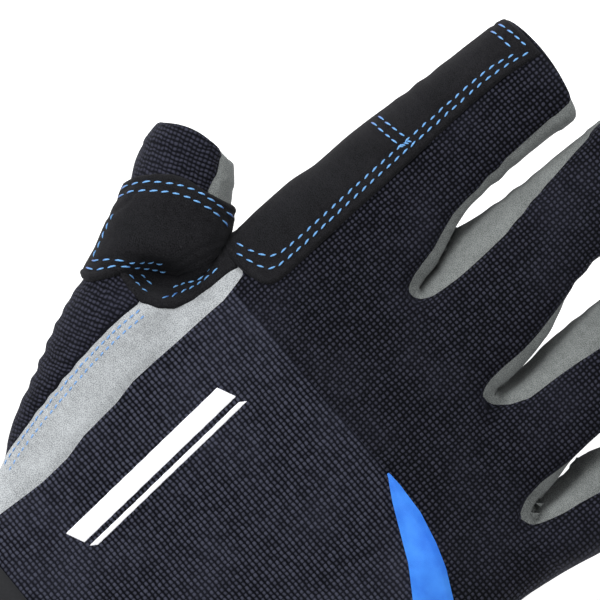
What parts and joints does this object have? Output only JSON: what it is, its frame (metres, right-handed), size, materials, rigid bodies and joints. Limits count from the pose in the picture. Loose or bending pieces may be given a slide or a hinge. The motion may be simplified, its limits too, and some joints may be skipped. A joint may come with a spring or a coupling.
{
  "type": "sailing glove",
  "caption": "Right-hand short-finger sailing glove with sewn knit, suede and insert panels, bending fingers and thumb, and an opening wrist strap.",
  "frame": {"origin": "centre of the palm reinforcement's flat underside, which the glove rests on", "axes": "+X towards the little finger, +Y towards the fingertips, +Z out of the back of the hand"},
  "size_m": [0.1362, 0.2035, 0.0395],
  "materials": {
    "knit": "matt waffle knit",
    "suede_black": "brushed synthetic suede",
    "suede_grey": "brushed synthetic suede",
    "insert_blue": "smooth stretch fabric, slight sheen",
    "neoprene": "smooth jersey-faced neoprene",
    "binding": "folded knit binding",
    "hook_and_loop": "hook-and-loop tape",
    "thread_blue": "polyester thread",
    "print_white": "raised print"
  },
  "bodies": {
    "hand": {"lower_back_panel": "knit", "knuckle_panel": "knit", "side_insert": "insert_blue", "thumb_gusset_strip": "suede_grey", "thumb_base_back_panel": "knit", "palm_panel": "suede_grey", "thumb_web_patch": "suede_black", "palm_reinforcement": "suede_black", "index_middle_fourchette_fold": "suede_grey", "middle_ring_fourchette_fold": "suede_grey", "ring_little_fourchette_fold": "suede_grey", "cuff_back": "neoprene", "cuff_palm": "neoprene", "cuff_binding": "binding", "loop_patch": "hook_and_loop", "strap_anchor": "neoprene", "index_root_patch": "suede_black", "thumb_base_patch": "suede_black"},
    "index_base": {"index_base_middle_side_fourchette": "suede_grey", "index_base_back": "knit", "index_base_palm": "suede_grey", "index_base_patch": "suede_black"},
    "index_tip": {"index_tip_middle_side_fourchette": "suede_grey", "index_tip_back": "knit", "index_tip_palm": "suede_grey", "index_tip_patch": "suede_black"},
    "middle_base": {"middle_base_index_side_fourchette": "suede_grey", "middle_base_ring_side_fourchette": "suede_grey", "middle_base_back": "knit", "middle_base_palm": "suede_grey"},
    "middle_tip": {"middle_tip_index_side_fourchette": "suede_grey", "middle_tip_ring_side_fourchette": "suede_grey", "middle_tip_back": "knit", "middle_tip_palm": "suede_grey"},
    "ring_base": {"ring_base_middle_side_fourchette": "suede_grey", "ring_base_little_side_fourchette": "suede_grey", "ring_base_back": "knit", "ring_base_palm": "suede_grey"},
    "ring_tip": {"ring_tip_middle_side_fourchette": "suede_grey", "ring_tip_little_side_fourchette": "suede_grey", "ring_tip_back": "knit", "ring_tip_palm": "suede_grey"},
    "little_base": {"little_base_ring_side_fourchette": "suede_grey", "little_base_back": "knit", "little_base_palm": "suede_grey"},
    "little_tip": {"little_tip_ring_side_fourchette": "suede_grey", "little_tip_back": "knit", "little_tip_palm": "suede_grey"},
    "thumb_tip": {"thumb_tip_back": "knit", "thumb_tip_palm": "suede_grey", "thumb_tip_patch": "suede_black"},
    "strap": {"wrist_strap": "neoprene", "hook_patch": "hook_and_loop"}
  },
  "joints": [
    {"name": "index_root_bend", "type": "hinge", "parent": "hand", "child": "index_base", "pos_m": [-0.034, 0.052, 0.003], "axis": [-1, 0, 0], "range_deg": [0, 60]},
    {"name": "index_middle_bend", "type": "hinge", "parent": "index_base", "child": "index_tip", "pos_m": [-0.034, 0.08, 0.003], "axis": [-1, 0, 0], "range_deg": [0, 66]},
    {"name": "middle_root_bend", "type": "hinge", "parent": "hand", "child": "middle_base", "pos_m": [-0.004, 0.052, 0.003], "axis": [-1, 0, 0], "range_deg": [0, 60]},
    {"name": "middle_middle_bend", "type": "hinge", "parent": "middle_base", "child": "middle_tip", "pos_m": [-0.004, 0.081, 0.003], "axis": [-1, 0, 0], "range_deg": [0, 66]},
    {"name": "ring_root_bend", "type": "hinge", "parent": "hand", "child": "ring_base", "pos_m": [0.021, 0.05, 0.003], "axis": [-1, 0, 0], "range_deg": [0, 60]},
    {"name": "ring_middle_bend", "type": "hinge", "parent": "ring_base", "child": "ring_tip", "pos_m": [0.021, 0.077, 0.003], "axis": [-1, 0, 0], "range_deg": [0, 66]},
    {"name": "little_root_bend", "type": "hinge", "parent": "hand", "child": "little_base", "pos_m": [0.0422, 0.044, 0.003], "axis": [-0.9798, 0.2, 0], "range_deg": [0, 60]},
    {"name": "little_middle_bend", "type": "hinge", "parent": "little_base", "child": "little_tip", "pos_m": [0.0462, 0.0636, 0.003], "axis": [-0.9798, 0.2, 0], "range_deg": [0, 66]},
    {"name": "thumb_bend", "type": "hinge", "parent": "hand", "child": "thumb_tip", "pos_m": [-0.06302, 0.02282, 0.003], "axis": [-0.9164, -0.4003, 0], "range_deg": [0, 45]},
    {"name": "strap_open", "type": "hinge", "parent": "hand", "child": "strap", "pos_m": [0.027, -0.072, 0.0325], "axis": [0, 1, 0], "range_deg": [0, 120]}
  ],
  "couplings": [
    {"joint": "index_middle_bend", "follows": "index_root_bend", "ratio": 1.1},
    {"joint": "middle_middle_bend", "follows": "middle_root_bend", "ratio": 1.1},
    {"joint": "ring_middle_bend", "follows": "ring_root_bend", "ratio": 1.1},
    {"joint": "little_middle_bend", "follows": "little_root_bend", "ratio": 1.1}
  ]
}
